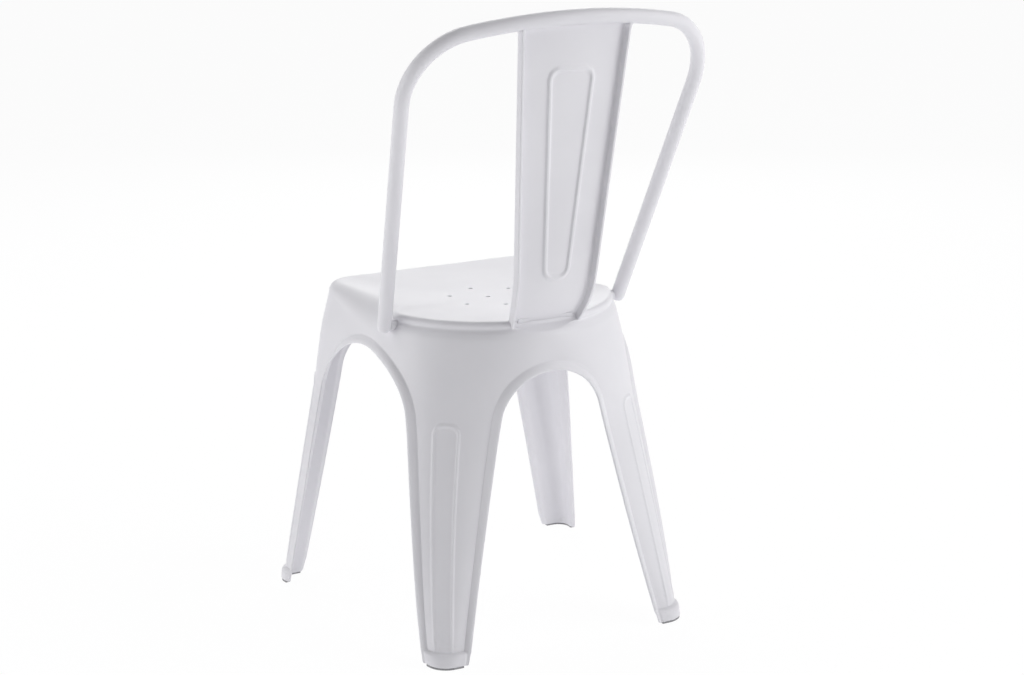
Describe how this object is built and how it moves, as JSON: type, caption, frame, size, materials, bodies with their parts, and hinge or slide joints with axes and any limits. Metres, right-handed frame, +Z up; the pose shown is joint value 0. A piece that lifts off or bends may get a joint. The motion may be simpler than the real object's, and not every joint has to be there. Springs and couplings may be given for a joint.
{
  "type": "plastic bistro chair",
  "caption": "White moulded plastic side chair: dished seat and flared channel legs in one shell, with a bent round back hoop and a tapered channel back splat.",
  "frame": {"origin": "on the floor, in the middle of the chair's footprint box", "axes": "+Z up, -Y the way the chair faces, +X the sitter's left"},
  "size_m": [0.482, 0.4702, 0.8491],
  "materials": {
    "white_plastic": "satin white moulding",
    "zinc_plated_steel": "zinc plated",
    "grey_pad": "matt dark grey"
  },
  "bodies": {
    "root": {"seat_shell": "white_plastic", "back_hoop": "white_plastic", "back_splat": "white_plastic", "hoop_screw_left": "zinc_plated_steel", "hoop_screw_right": "zinc_plated_steel", "hoop_washer_left": "zinc_plated_steel", "hoop_washer_right": "zinc_plated_steel", "splat_screw_left": "zinc_plated_steel", "splat_screw_right": "zinc_plated_steel", "foot_pad_front_left": "grey_pad", "foot_pad_front_right": "grey_pad", "foot_pad_rear_left": "grey_pad", "foot_pad_rear_right": "grey_pad"}
  },
  "joints": []
}
